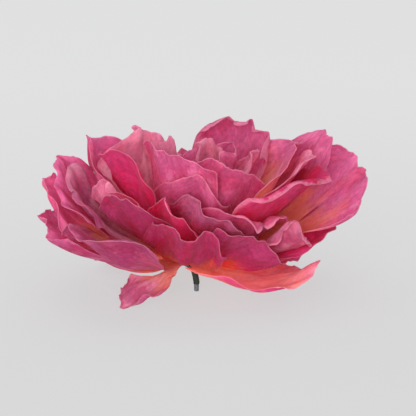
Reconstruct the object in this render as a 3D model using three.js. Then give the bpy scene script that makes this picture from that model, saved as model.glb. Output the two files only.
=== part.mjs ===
// A crepe paper peony: a full double flower of cut and stretched crepe paper petals,
// glued one after another round a small ball on a short, taped stub of stem wire.
// Millimetres, +Z up. The origin is the middle of the stub's cut end, which stands on the
// table together with the lowest petals. -Y is the front.
import * as THREE from "three";

// Paper and glue
const PAPER = 0.5;
const GLUE_GAP = 0.3;
const CLAW_CLEARANCE = 0.22;
const RIM_CLEARANCE = 1.2;

// Ball that the petals are glued to, and where it stands over the cut end
const BALL_RADIUS = 5.5;
const BALL_HEIGHT = 18.5;
const BALL_SHIFT = -3.5;
const BALL_SIDES = 16;

// Stem stub: bare wire end, and the floral tape wound over the rest
const WIRE_RADIUS = 1.2;
const TAPE_THICKNESS = 0.2;
const STEM_CLEARANCE = 0.2;
const BARE_END = 4;
const WIRE_DEPTH_IN_BALL = 4;
const STEM_SIDES = 12;
const STEM_STEPS = 4;

// The head leans to +X on the stub
const HEAD_TILT = 15;
const TABLE_CLEARANCE = 0.05;

// Grids: the points where the petals are kept apart, and every how many of them the solid uses
const ACROSS = 14;
const ALONG = 12;
const SOLID_STEP = 2;

// Cells of the map that holds how far out the petals placed so far reach
const MAP_TURN_CELLS = 90;
const MAP_REACH_CELLS = 60;
const MAP_REACH = 132;
const SPLAT_STEPS = 4;
const LEAST_OPENING = THREE.MathUtils.degToRad(3);

const rad = THREE.MathUtils.degToRad;
const smooth = THREE.MathUtils.smoothstep;
const clamp = THREE.MathUtils.clamp;

// Crepe papers: rose magenta, a faded pale one and a deep red one
const MAGENTA = 0xc0476f;
const PALE = 0xcd7b9c;
const DEEP = 0xa4314f;

// What a petal's line and its ring say of it. Lengths are in millimetres, angles in degrees.
// turn: round the head, from +X towards the back. open: how far its rim stands from the head's
// axis, seen from the ball. long and wide: the cut paper. claw: its width where it is glued.
// base: where that is, from the top of the ball. bow: how much the midrib bends up like a bowl.
// flare: how much the rim turns out again. cup: how far the sides come round. skew: one side out
// and the other in, more towards the rim. roll: the same for the whole sheet, from its claw.
// waves, ruffle and phase: the wavy rim. drop and point: how the rim falls away to the sides.
// curl: the rolled rim, outwards if positive. paper: its colour.
const PETAL = { skew: 0, roll: 0, waves: 2, drop: 0.34, point: 2.4, curl: 0, paper: MAGENTA };

const RINGS = [
  {
    name: "centre_petal",
    like: { long: 54, wide: 22, claw: 3.5, base: 18, bow: 10, flare: 10, cup: 62, ruffle: 1 },
    petals: [
      { turn: 317, open: 9, long: 54, wide: 20 },
      { turn: 130, open: 9, wide: 28, paper: PALE },
      { turn: 62, open: 13, long: 55 },
      { turn: 265, open: 13, long: 51, wide: 26 },
      { turn: 8, open: 18, long: 58, wide: 24, paper: PALE },
      { turn: 200, open: 19, long: 48, wide: 28 },
      { turn: 110, open: 20, long: 50, wide: 26 },
    ],
  },
  {
    name: "inner_petal",
    like: { long: 60, wide: 42, claw: 4, base: 36, bow: 20, flare: 8, cup: 45, ruffle: 1.5 },
    petals: [
      { turn: 280, open: 26, long: 59, wide: 48, skew: 8, drop: 0.22 },
      {
        turn: 226, open: 34, long: 64, wide: 50, skew: -4,
        waves: 1, ruffle: 0.5, drop: 0.18, point: 3,
      },
      {
        turn: 71, open: 27, long: 73, wide: 42, skew: -14, waves: 1,
        ruffle: 1.5, phase: 2, drop: 0.22, point: 2.8, curl: -110,
      },
      { turn: 136, open: 34, long: 54, wide: 24, paper: PALE },
      { turn: 13, open: 28, long: 73, wide: 64, drop: 0.25 },
      { turn: 354, open: 31, long: 76, wide: 46, paper: PALE },
      { turn: 253, open: 28, long: 59, wide: 42, drop: 0.5, point: 1.3 },
    ],
  },
  {
    name: "middle_petal",
    like: { long: 64, wide: 44, claw: 5, base: 52, bow: 30, flare: 8, cup: 40, ruffle: 2 },
    petals: [
      {
        turn: 330, open: 42, long: 84, wide: 72, cup: 46, skew: -14,
        waves: 1, phase: 0.6, drop: 0.28, point: 1.5, curl: 60, paper: DEEP,
      },
      { turn: 194, open: 50, long: 67, wide: 34, skew: -35, paper: DEEP },
      { turn: 153, open: 42, long: 64, wide: 34, drop: 0.22, paper: PALE },
      { turn: 25, open: 38, long: 88, wide: 40 },
      { turn: 304, open: 38, long: 62, wide: 40, flare: 20, waves: 1, curl: 140 },
      { turn: 100, open: 46, long: 54, wide: 44 },
      { turn: 274, open: 39, long: 57, wide: 40 },
      { turn: 65, open: 48, long: 60, wide: 42 },
    ],
  },
  {
    name: "full_petal",
    like: { long: 66, wide: 48, claw: 5.5, base: 68, bow: 36, flare: 10, cup: 38, ruffle: 2.5 },
    petals: [
      { turn: 3, open: 47, long: 93, wide: 66, skew: -28, drop: 0.2 },
      { turn: 246, open: 49, long: 58, wide: 38, drop: 0.5, point: 1.3, paper: DEEP },
      { turn: 169, open: 48, long: 75, wide: 44, point: 1.4 },
      { turn: 120, open: 58, long: 60 },
      { turn: 324, open: 46, long: 67, wide: 19, paper: PALE },
      { turn: 85, open: 58, long: 64 },
      { turn: 45, open: 58, long: 66 },
      { turn: 205, open: 58, long: 62, wide: 34, ruffle: 1.5, paper: PALE },
      { turn: 223, open: 59, long: 64, wide: 42, waves: 1, ruffle: 1, paper: DEEP },
      { turn: 354, open: 50, long: 70, wide: 44, paper: DEEP },
      {
        turn: 302, open: 50, long: 56, wide: 41, claw: 14, base: 84,
        skew: -2, waves: 1, ruffle: 0.5, drop: 0.07, paper: DEEP,
      },
    ],
  },
  {
    name: "outer_petal",
    like: { long: 68, wide: 54, claw: 5.5, base: 82, bow: 40, flare: 10, cup: 38, ruffle: 3 },
    petals: [
      { turn: 187, open: 52, long: 73, wide: 28, claw: 9, base: 92, paper: PALE },
      { turn: 261, open: 64, long: 62, wide: 44, claw: 15, base: 96, drop: 0.22, paper: DEEP },
      { turn: 178, open: 64, long: 77, wide: 42, waves: 1, ruffle: 1.5, phase: 2.4 },
      { turn: 140, open: 68, long: 64 },
      { turn: 105, open: 68, long: 70 },
      { turn: 70, open: 68, long: 72 },
      { turn: 30, open: 66, long: 72 },
    ],
  },
  {
    name: "guard_petal",
    like: { long: 70, wide: 58, claw: 5.5, base: 96, bow: 40, flare: 6, cup: 35, ruffle: 3 },
    petals: [
      { turn: 222, open: 79, long: 76, wide: 56, claw: 11, base: 104, skew: -14 },
      { turn: 181, open: 75, long: 79, wide: 42 },
      { turn: 150, open: 78, long: 64 },
      { turn: 112, open: 79, long: 72 },
      { turn: 75, open: 75, long: 74 },
      { turn: 35, open: 69, long: 64 },
      { turn: 185, open: 86, long: 72, wide: 58, waves: 1, ruffle: 1.5, drop: 0.15 },
    ],
  },
  {
    name: "drooping_petal",
    like: { long: 56, wide: 42, claw: 5.5, base: 112, bow: 20, flare: 0, cup: 35, ruffle: 2 },
    petals: [
      { turn: 223, open: 124, long: 41, wide: 32, bow: 0, drop: 0.5, point: 1.1, paper: PALE },
      {
        turn: 338, open: 67, long: 70, wide: 54, claw: 44, base: 130,
        bow: 61, cup: 58, skew: -50, roll: 2, drop: 0.28, point: 2,
      },
      { turn: 75, open: 114, long: 56 },
      { turn: 132, open: 115, long: 58 },
    ],
  },
];

// Half width at a share of the length: a narrow claw that widens into the blade.
function halfWidth(p, share) {
  return (p.claw + (p.wide - p.claw) * smooth(share, 0.02, 0.66)) / 2;
}

// Slope of the midrib from the head's axis, in radians, at a share of the length, before the
// whole petal is swung open.
function slopeAt(p, share) {
  const bowl = p.bow * (0.5 - smooth(share, 0, 0.9));
  const flare = p.flare * smooth(share, 0.6, 1.05);
  const curl = p.curl * Math.max(0, (share - 0.84) / 0.16) ** 1.5;
  return rad(bowl + flare + curl);
}

// The midrib in the petal's own upright plane, as distance from the axis and height, swung so
// that its end stands at the petal's opening.
function midrib(p) {
  const steps = 60;
  const reach = BALL_RADIUS + GLUE_GAP + PAPER / 2;
  const glued = new THREE.Vector2(Math.sin(rad(p.base)), Math.cos(rad(p.base))).multiplyScalar(reach);
  const drawn = (swing) => {
    const line = [glued];
    for (let i = 0; i < steps; i += 1) {
      const slope = swing + slopeAt(p, (i + 0.5) / steps);
      const step = new THREE.Vector2(Math.sin(slope), Math.cos(slope)).multiplyScalar(p.long / steps);
      line.push(line[i].clone().add(step));
    }
    return line;
  };
  const tried = 4;
  let swing = rad(p.open);
  for (let n = 0; n < tried; n += 1) {
    const end = drawn(swing)[steps];
    swing += rad(p.open) - Math.atan2(end.x, end.y);
  }
  const line = drawn(swing);
  const pointAt = (share) => {
    const at = clamp(share, 0, 1) * steps;
    const low = Math.min(Math.floor(at), steps - 1);
    return line[low].clone().lerp(line[low + 1], at - low);
  };
  return { pointAt, swing };
}

// The petal's middle sheet as the paper was cut and stretched, before its neighbours press on
// it: rows from the claw to the rim, each with its points from one side to the other.
function freeSheet(p) {
  const { pointAt, swing } = midrib(p);
  const rows = [];
  for (let j = 0; j <= ALONG; j += 1) {
    const row = [];
    for (let i = 0; i <= ACROSS; i += 1) {
      const side = (2 * i) / ACROSS - 1;
      const fall = 1 - p.drop * Math.abs(side) ** p.point;
      const share = (j / ALONG) * fall;
      const half = halfWidth(p, share);
      const cup = rad(p.cup) * (half / (p.wide / 2));
      const bend = half / Math.max(cup, 0.01);
      const slope = swing + slopeAt(p, share);
      const free = smooth(share, 0.15, 1);
      const wave = Math.sin(Math.PI * p.waves * side + p.phase);
      const edge = Math.sin(Math.PI * 2.2 * share * p.waves + 2 * p.phase) * side;
      const ruffle = p.ruffle * (free * wave + 0.6 * free * edge * Math.abs(side));
      const tip = rad(p.skew) * side * half * free;
      const rise = bend * (1 - Math.cos(side * cup)) - ruffle - tip;
      const spread = bend * Math.sin(side * cup);
      const roll = rad(p.roll);
      const lift = rise * Math.cos(roll) - spread * Math.sin(roll);
      const across = spread * Math.cos(roll) + rise * Math.sin(roll);
      const middle = pointAt(share);
      const out = middle.x - Math.cos(slope) * lift;
      const up = middle.y + Math.sin(slope) * lift;
      const turn = rad(p.turn);
      row.push(new THREE.Vector3(
        out * Math.cos(turn) - across * Math.sin(turn),
        out * Math.sin(turn) + across * Math.cos(turn),
        up,
      ));
    }
    rows.push(row);
  }
  return rows;
}

// How far a point lies from the ball's middle, its turn, and how far out it opens.
function polar(point) {
  const reach = point.length();
  const turn = (Math.atan2(point.y, point.x) + 2 * Math.PI) % (2 * Math.PI);
  return { reach, turn, opening: Math.acos(clamp(point.z / reach, -1, 1)) };
}

function fromPolar({ reach, turn, opening }) {
  return new THREE.Vector3(
    reach * Math.sin(opening) * Math.cos(turn),
    reach * Math.sin(opening) * Math.sin(turn),
    reach * Math.cos(opening),
  );
}

// The widest opening that the petals placed so far reach, by turn and reach.
const reached = new Float32Array(MAP_TURN_CELLS * MAP_REACH_CELLS).fill(-1);

function cell(turn, reach) {
  const t = Math.floor((turn / (2 * Math.PI)) * MAP_TURN_CELLS);
  const r = Math.floor((reach / MAP_REACH) * MAP_REACH_CELLS);
  return [((t % MAP_TURN_CELLS) + MAP_TURN_CELLS) % MAP_TURN_CELLS, clamp(r, 0, MAP_REACH_CELLS - 1)];
}

// The widest opening in a cell and the eight around it.
function reachedNear(turn, reach) {
  const [t, r] = cell(turn, reach);
  let most = -1;
  for (let a = -1; a <= 1; a += 1) {
    for (let b = -1; b <= 1; b += 1) {
      const tt = (t + a + MAP_TURN_CELLS) % MAP_TURN_CELLS;
      const rr = clamp(r + b, 0, MAP_REACH_CELLS - 1);
      most = Math.max(most, reached[tt * MAP_REACH_CELLS + rr]);
    }
  }
  return most;
}

// Least distance between two neighbouring middle sheets at that reach.
function layerGap(reach) {
  return PAPER + THREE.MathUtils.lerp(CLAW_CLEARANCE, RIM_CLEARANCE, smooth(reach, BALL_RADIUS, 45));
}

// Each value becomes the largest within one step, and then the mean of those: still no smaller
// than it was, but with soft steps.
function softened(values, passes) {
  let from = values;
  for (let n = 0; n < passes; n += 1) {
    const near = (grid, j, i) => {
      const found = [];
      for (let a = -1; a <= 1; a += 1) {
        for (let b = -1; b <= 1; b += 1) {
          found.push(grid[clamp(j + a, 0, ALONG)][clamp(i + b, 0, ACROSS)]);
        }
      }
      return found;
    };
    const largest = from.map((row, j) => row.map((_, i) => Math.max(...near(from, j, i))));
    from = largest.map((row, j) => row.map((_, i) => near(largest, j, i).reduce((a, b) => a + b) / 9));
  }
  return from;
}

// Presses a sheet outwards where it would run into the petals inside it, and records it.
function settled(sheet) {
  const at = sheet.map((row) => row.map(polar));
  const need = at.map((row) => row.map((q) => {
    const inside = reachedNear(q.turn, q.reach);
    const least = inside < 0 ? LEAST_OPENING : inside + layerGap(q.reach) / q.reach;
    return Math.max(0, least - q.opening);
  }));
  const push = softened(need, 1);
  at.forEach((row, j) => row.forEach((q, i) => {
    q.opening += push[j][i];
  }));
  const points = at.map((row) => row.map(fromPolar));
  for (let j = 0; j < ALONG; j += 1) {
    for (let i = 0; i < ACROSS; i += 1) {
      for (let a = 0; a <= SPLAT_STEPS; a += 1) {
        for (let b = 0; b <= SPLAT_STEPS; b += 1) {
          const low = points[j][i].clone().lerp(points[j][i + 1], a / SPLAT_STEPS);
          const high = points[j + 1][i].clone().lerp(points[j + 1][i + 1], a / SPLAT_STEPS);
          const q = polar(low.lerp(high, b / SPLAT_STEPS));
          const [t, r] = cell(q.turn, q.reach);
          const k = t * MAP_REACH_CELLS + r;
          reached[k] = Math.max(reached[k], q.opening);
        }
      }
    }
  }
  return points;
}

// The head's frame stands at the ball's middle and leans by HEAD_TILT.
const headTurn = new THREE.Matrix4().makeRotationY(rad(HEAD_TILT));
const headFrame = new THREE.Matrix4().makeTranslation(BALL_SHIFT, 0, BALL_HEIGHT).multiply(headTurn);

// A closed sheet of paper round the grid's middle points, no lower than the table.
function paperGeometry(points) {
  const grid = [];
  for (let j = 0; j <= ALONG; j += SOLID_STEP) {
    const row = [];
    for (let i = 0; i <= ACROSS; i += SOLID_STEP) {
      const p = points[j][i].clone().applyMatrix4(headFrame);
      p.z = Math.max(p.z, TABLE_CLEARANCE + PAPER / 2);
      row.push(p);
    }
    grid.push(row);
  }
  const rows = grid.length;
  const columns = grid[0].length;
  const inner = [];
  const outer = [];
  for (let j = 0; j < rows; j += 1) {
    for (let i = 0; i < columns; i += 1) {
      const along = grid[Math.min(j + 1, rows - 1)][i].clone().sub(grid[Math.max(j - 1, 0)][i]);
      const across = grid[j][Math.min(i + 1, columns - 1)].clone().sub(grid[j][Math.max(i - 1, 0)]);
      const normal = across.cross(along).normalize().multiplyScalar(PAPER / 2);
      inner.push(grid[j][i].clone().sub(normal));
      outer.push(grid[j][i].clone().add(normal));
    }
  }
  const points3 = [...inner, ...outer];
  const index = [];
  const quad = (a, b, c, d) => index.push(a, b, c, a, c, d);
  const at = (j, i, face) => face * rows * columns + j * columns + i;
  for (let j = 0; j < rows - 1; j += 1) {
    for (let i = 0; i < columns - 1; i += 1) {
      quad(at(j, i, 1), at(j, i + 1, 1), at(j + 1, i + 1, 1), at(j + 1, i, 1));
      quad(at(j, i, 0), at(j + 1, i, 0), at(j + 1, i + 1, 0), at(j, i + 1, 0));
    }
  }
  for (let i = 0; i < columns - 1; i += 1) {
    quad(at(0, i, 0), at(0, i + 1, 0), at(0, i + 1, 1), at(0, i, 1));
    quad(at(rows - 1, i, 1), at(rows - 1, i + 1, 1), at(rows - 1, i + 1, 0), at(rows - 1, i, 0));
  }
  for (let j = 0; j < rows - 1; j += 1) {
    quad(at(j, 0, 1), at(j + 1, 0, 1), at(j + 1, 0, 0), at(j, 0, 0));
    quad(at(j, columns - 1, 0), at(j + 1, columns - 1, 0), at(j + 1, columns - 1, 1), at(j, columns - 1, 1));
  }
  const geometry = new THREE.BufferGeometry().setFromPoints(points3);
  geometry.setIndex(index);
  geometry.computeVertexNormals();
  return geometry;
}

const crepe = new Map([MAGENTA, PALE, DEEP].map((color) => (
  [color, new THREE.MeshStandardMaterial({ color, roughness: 0.85 })]
)));
const tapeGreen = new THREE.MeshStandardMaterial({ color: 0x20281c, roughness: 0.7 });
const steel = new THREE.MeshStandardMaterial({ color: 0x6f7378, roughness: 0.4, metalness: 0.9 });

const flower = new THREE.Group();

function addPiece(name, geometry, material) {
  const piece = new THREE.Mesh(geometry, material);
  piece.name = name;
  flower.add(piece);
  return piece;
}

// Petals, from the middle out, each pressed clear of those before it.
for (const ring of RINGS) {
  ring.petals.forEach((own, n) => {
    const petal = { ...PETAL, phase: 1.7 * n, ...ring.like, ...own };
    addPiece(`${ring.name}_${n + 1}`, paperGeometry(settled(freeSheet(petal))), crepe.get(petal.paper));
  });
}

// Stem: upright at the cut end, then leaning to the ball.
const ballMiddle = new THREE.Vector3(BALL_SHIFT, 0, BALL_HEIGHT);
const bend = new THREE.Vector3(0, 0, BARE_END);
const stemLine = new THREE.CurvePath();
stemLine.add(new THREE.LineCurve3(new THREE.Vector3(0, 0, 0), bend));
stemLine.add(new THREE.QuadraticBezierCurve3(bend, new THREE.Vector3(0, 0, 2 * BARE_END), ballMiddle));
const stemLength = stemLine.getLength();
const stemTop = stemLine.getTangentAt(1);

function stretchOfStem(from, to) {
  const stretch = new THREE.Curve();
  stretch.getPoint = (t) => stemLine.getPointAt(THREE.MathUtils.lerp(from, to, t) / stemLength);
  return stretch;
}

function drawn(shape, from, to) {
  const path = { steps: STEM_STEPS, curveSegments: STEM_SIDES / 2, extrudePath: stretchOfStem(from, to) };
  return new THREE.ExtrudeGeometry(shape, path);
}

function circle(radius) {
  return new THREE.Shape().absarc(0, 0, radius, 0, 2 * Math.PI);
}

const wireTop = stemLength - BALL_RADIUS + WIRE_DEPTH_IN_BALL;
const tapeTop = stemLength - BALL_RADIUS - STEM_CLEARANCE;
addPiece("stem_wire", drawn(circle(WIRE_RADIUS), 0, wireTop), steel);

const tapeRing = circle(WIRE_RADIUS + STEM_CLEARANCE + TAPE_THICKNESS);
tapeRing.holes.push(new THREE.Path().absarc(0, 0, WIRE_RADIUS + STEM_CLEARANCE, 0, 2 * Math.PI));
addPiece("stem_tape", drawn(tapeRing, BARE_END, tapeTop), tapeGreen);

// The ball, with a blind hole from below for the wire.
const holeRadius = WIRE_RADIUS + STEM_CLEARANCE;
const holeTop = -(BALL_RADIUS - WIRE_DEPTH_IN_BALL) + STEM_CLEARANCE;
const profile = [new THREE.Vector2(0, holeTop), new THREE.Vector2(holeRadius, holeTop)];
const mouth = Math.asin(holeRadius / BALL_RADIUS);
for (let i = 0; i <= BALL_SIDES / 2; i += 1) {
  const angle = THREE.MathUtils.lerp(mouth, Math.PI, i / (BALL_SIDES / 2));
  profile.push(new THREE.Vector2(BALL_RADIUS * Math.sin(angle), -BALL_RADIUS * Math.cos(angle)));
}
profile[profile.length - 1].x = 0;
const ball = addPiece("ball", new THREE.LatheGeometry(profile, BALL_SIDES), tapeGreen);
ball.quaternion.setFromUnitVectors(new THREE.Vector3(0, 1, 0), stemTop);
ball.position.copy(ballMiddle);

export default flower;
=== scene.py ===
"""The looks of a crepe paper peony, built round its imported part.

Every petal is worked out again on a finer grid from the part's own sizes, with the frills,
pleats, rolled rims and creping of real paper, and stands in for its plain solid.
"""

import math

import bmesh
import bpy
import numpy as np
from bpy.props import FloatProperty, FloatVectorProperty, PointerProperty
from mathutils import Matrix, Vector


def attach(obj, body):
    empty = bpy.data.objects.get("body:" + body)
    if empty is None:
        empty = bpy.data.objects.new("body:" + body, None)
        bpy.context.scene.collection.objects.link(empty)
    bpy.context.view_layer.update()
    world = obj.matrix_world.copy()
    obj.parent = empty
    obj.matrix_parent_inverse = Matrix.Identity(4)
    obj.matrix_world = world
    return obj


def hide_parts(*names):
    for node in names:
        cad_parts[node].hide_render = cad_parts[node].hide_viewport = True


bl_info = {
    "name": "Crepe Paper Peony",
    "version": (1, 0, 0),
    "blender": (4, 5, 0),
    "location": "View3D > Sidebar > Peony",
    "description": "Builds the petals, the taped stub and the stage of a crepe paper peony",
    "category": "Add Mesh",
}

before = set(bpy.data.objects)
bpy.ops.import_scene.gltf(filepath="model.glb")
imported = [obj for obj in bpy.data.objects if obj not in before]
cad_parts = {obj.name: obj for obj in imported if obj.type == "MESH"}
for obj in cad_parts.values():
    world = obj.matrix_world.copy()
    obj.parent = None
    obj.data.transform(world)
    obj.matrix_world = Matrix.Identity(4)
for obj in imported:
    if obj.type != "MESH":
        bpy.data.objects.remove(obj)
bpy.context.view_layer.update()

MM = 0.001
GOLDEN = 0.6180339

# Sizes that the part has too, in millimetres and degrees
PAPER = 0.5
GLUE_GAP = 0.3
CLAW_CLEARANCE = 0.22
RIM_CLEARANCE = 1.2
BALL_RADIUS = 5.5
BALL_HEIGHT = 18.5
BALL_SHIFT = -3.5
WIRE_RADIUS = 1.2
TAPE_THICKNESS = 0.2
STEM_CLEARANCE = 0.2
BARE_END = 4
HEAD_TILT = 15
TABLE_CLEARANCE = 0.05
RIM_REACH = 45

# Shares of its length between which a petal widens, and the steps of its midrib and its swing
CLAW_SHARE = 0.02
BLADE_SHARE = 0.66
MIDRIB_STEPS = 60
SWING_STEPS = 4

# Grid on which the petals are kept apart, as in the part, and the finer grid that is shown
ACROSS = 14
ALONG = 12
FINE_ACROSS = 60
FINE_ALONG = 44
ROLL_ROWS = 9
MAP_TURN_CELLS = 90
MAP_REACH_CELLS = 60
MAP_REACH = 132
SPLAT_STEPS = 4
LEAST_OPENING = math.radians(3)

# The taped stub and the ball in millimetres: the wire's rounding and its top in the ball, the
# tape's laps, how far it runs into the ball, and the steps of the ball's windings
STUB_SIDES = 32
WIRE_ROUNDING = 0.55
WIRE_TOP = 1.6
TAPE_PLAY = 0.05
TAPE_LAP = 2.6
LAP_STEP = 0.22
TAPE_LUMPS = 0.035
TAPE_IN_BALL = 0.2
WINDING_STEP = 0.15

# The stage in metres and degrees: the floor's half width, and the camera of the photograph
FLOOR_HALF = 4
SKY_STRENGTH = 0.76
CAMERA_ELEVATION = 18
CAMERA_DISTANCE = 1.1
CAMERA_SENSOR = 36
VIEW_WIDTH = 0.208
VIEW_RIGHT = 0.00575
VIEW_UP = 0.0415

# What every petal has unless its ring or its own line says otherwise. The part has the same sizes:
# turn round the head and open from its axis in degrees, long and wide in millimetres, claw the
# width where it is glued, base where that is, bow, flare and curl of the midrib, cup of the blade,
# skew and roll of its sides, waves and ruffle of the rim, drop and point of its outline.
# Only here: frill, how much of the fine frills it has. rim, how far its rim is rolled, in degrees,
# outwards if positive, and rolled, how much of it is. coral, how far up the coral dye reaches.
# fade, how blotched the dye is. tone, lighter or darker, is partly the petal's
# own tone and partly painted light that lifts petals lying in shade. lilac and red, how much of
# those dyes.
# band, how wide a painted highlight runs as a pale band along its rim, in millimetres.
PETAL = dict(
    skew=0, roll=0, waves=2, drop=0.34, point=2.4, curl=0, frill=1, rim=30,
    rolled=1, coral=0.35, fade=0.5, tone=0, lilac=0, red=0, band=0,
)

RINGS = {}


def petal(turn, opening, paper="rose", **own):
    """A petal's place, its paper and what else it has of its own."""
    return dict(turn=turn, open=opening, paper=paper, **own)


def ring(name, shared, *petals):
    """Enters a ring: what its petals share, and each of them in the order of gluing."""
    RINGS[name] = [{**PETAL, **shared, **own} for own in petals]


ring(
    "centre_petal",
    dict(long=54, wide=22, claw=3.5, base=18, bow=10, flare=10, cup=62, ruffle=1, frill=0.5,
         coral=0.1, fade=0.6, rim=70, band=1.2),
    petal(317, 9, wide=20, rim=-120),
    petal(130, 9, "pale", wide=28, rim=90, tone=-0.05),
    petal(62, 13, long=55, rim=-90),
    petal(265, 13, long=51, wide=26, rim=110),
    petal(8, 18, "pale", long=58, wide=24, rim=-100),
    petal(200, 19, long=48, wide=28, rim=120),
    petal(110, 20, long=50, wide=26, rim=80),
)
ring(
    "inner_petal",
    dict(long=60, wide=42, claw=4, base=36, bow=20, flare=8, cup=45, ruffle=1.5, frill=0.5,
         coral=0.15, rim=20, red=0.1, band=0.8),
    petal(280, 26, long=59, wide=48, skew=8, drop=0.22, frill=0.4, rim=15, lilac=0.2),
    petal(226, 34, long=64, wide=50, skew=-4, waves=1, ruffle=0.5, drop=0.18, point=3, frill=0.4,
          rim=30, fade=0.9, tone=0.02),
    petal(71, 27, long=73, skew=-14, waves=1, phase=2, drop=0.22, point=2.8, curl=-110, rim=-150,
          rolled=2, frill=0.15, coral=0.3, band=4.5, tone=-0.04),
    petal(136, 34, "pale", long=54, wide=24, rim=30),
    petal(13, 28, long=73, wide=64, drop=0.25, coral=0.75, frill=0.3),
    petal(354, 31, "pale", long=76, wide=46, rim=60, lilac=0.3, band=1.6),
    petal(253, 28, long=59, drop=0.5, point=1.3, rim=10, lilac=0.2, band=1.2),
)
ring(
    "middle_petal",
    dict(long=64, wide=44, claw=5, base=52, bow=30, flare=8, cup=40, ruffle=2, frill=0.7,
         coral=0.3, red=0.3),
    petal(330, 42, "deep", long=84, wide=72, cup=46, skew=-14, waves=1, phase=0.6, drop=0.28,
          point=1.5, curl=60, rim=200, rolled=1.3, frill=0.3, coral=0.2, band=3.2, red=0.7),
    petal(194, 50, "deep", long=67, wide=34, skew=-35, frill=0.4, rim=40, red=0.5, tone=0.03),
    petal(153, 42, "pale", wide=34, drop=0.22, rim=40, fade=0.8, band=1.5),
    petal(25, 38, long=88, wide=40, frill=0.8, coral=0.62, fade=0.9, red=0),
    petal(304, 38, long=62, wide=40, flare=20, waves=1, curl=140, rim=60, red=0.1, tone=0.02,
          band=2),
    petal(100, 46, long=54),
    petal(274, 39, long=57, wide=40, red=0.8, tone=-0.16, band=1.2),
    petal(65, 48, long=60, wide=42),
)
ring(
    "full_petal",
    dict(long=66, wide=48, claw=5.5, base=68, bow=36, flare=10, cup=38, ruffle=2.5, frill=0.9,
         red=0.3),
    petal(3, 47, long=93, wide=66, skew=-28, drop=0.2, frill=0.8, coral=0.66, rim=-50, fade=0.9,
          tone=0.02, red=0),
    petal(246, 49, "deep", long=58, wide=38, drop=0.5, point=1.3, frill=0.5, rim=50, coral=0.4,
          tone=0.14, band=0.8),
    petal(169, 48, long=75, wide=44, point=1.4, frill=0.5, rim=60, fade=0.6),
    petal(120, 58, long=60),
    petal(324, 46, "pale", long=67, wide=19, rim=160, lilac=0.5, band=1.4),
    petal(85, 58, long=64),
    petal(45, 58),
    petal(205, 58, "pale", long=62, wide=34, ruffle=1.5, frill=0.5, coral=0.4, rim=50, lilac=0.4,
          tone=0.08, fade=0.9),
    petal(223, 59, "deep", long=64, wide=42, waves=1, ruffle=1, frill=0.4, rim=20, coral=0.2,
          lilac=0.8, tone=-0.02),
    petal(354, 50, "deep", long=70, wide=44, coral=0.3),
    petal(302, 50, "deep", long=56, wide=41, claw=14, base=84, skew=-2, waves=1, ruffle=0.5,
          drop=0.07, frill=0.4, coral=0.75, rim=40, lilac=0.5, tone=-0.01),
)
ring(
    "outer_petal",
    dict(long=68, wide=54, claw=5.5, base=82, bow=40, flare=10, cup=38, ruffle=3),
    petal(187, 52, "pale", long=73, wide=28, claw=9, base=92, rim=120, lilac=0.9, tone=-0.08,
          fade=0.6),
    petal(261, 64, "deep", long=62, wide=44, claw=15, base=96, drop=0.22, coral=0.45, rim=-30,
          red=0.8, tone=-0.08),
    petal(178, 64, long=77, wide=42, waves=1, ruffle=1.5, phase=2.4, rim=90, tone=0.05),
    petal(140, 68, long=64),
    petal(105, 68, long=70),
    petal(70, 68, long=72),
    petal(30, 66, long=72),
)
ring(
    "guard_petal",
    dict(long=70, wide=58, claw=5.5, base=96, bow=40, flare=6, cup=35, ruffle=3, coral=0.4),
    petal(222, 79, long=76, wide=56, claw=11, base=104, skew=-14, frill=0.5, coral=0.55, rim=60,
          lilac=0.9, tone=-0.06),
    petal(181, 75, long=79, wide=42, frill=0.8, rim=-60, coral=0.65, fade=0.8, tone=0.1),
    petal(150, 78, long=64),
    petal(112, 79, long=72),
    petal(75, 75, long=74),
    petal(35, 69, long=64),
    petal(185, 86, long=72, waves=1, ruffle=1.5, drop=0.15, frill=0.8, coral=0.5, rim=-40,
          lilac=0.5, fade=0.8, tone=0.03),
)
ring(
    "drooping_petal",
    dict(long=56, wide=42, claw=5.5, base=112, bow=20, flare=0, cup=35, ruffle=2, frill=0.8,
         coral=0.45),
    petal(223, 124, "pale", long=41, wide=32, bow=0, drop=0.5, point=1.1, frill=0.7, coral=0.5,
          rim=-90, fade=0.8, lilac=0.6),
    petal(338, 67, long=70, wide=54, claw=44, base=130, bow=61, cup=58, skew=-50, roll=2,
          drop=0.28, point=2, frill=0.6, coral=1.25, rim=40, lilac=1, tone=0.18),
    petal(75, 114),
    petal(132, 115, long=58),
)


def smooth(x, low, high):
    """Smooth step: 0 below low, 1 above high, and 3 t squared minus 2 t cubed between them."""
    t = np.clip((x - low) / (high - low), 0, 1)
    return t * t * (3 - 2 * t)


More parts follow.
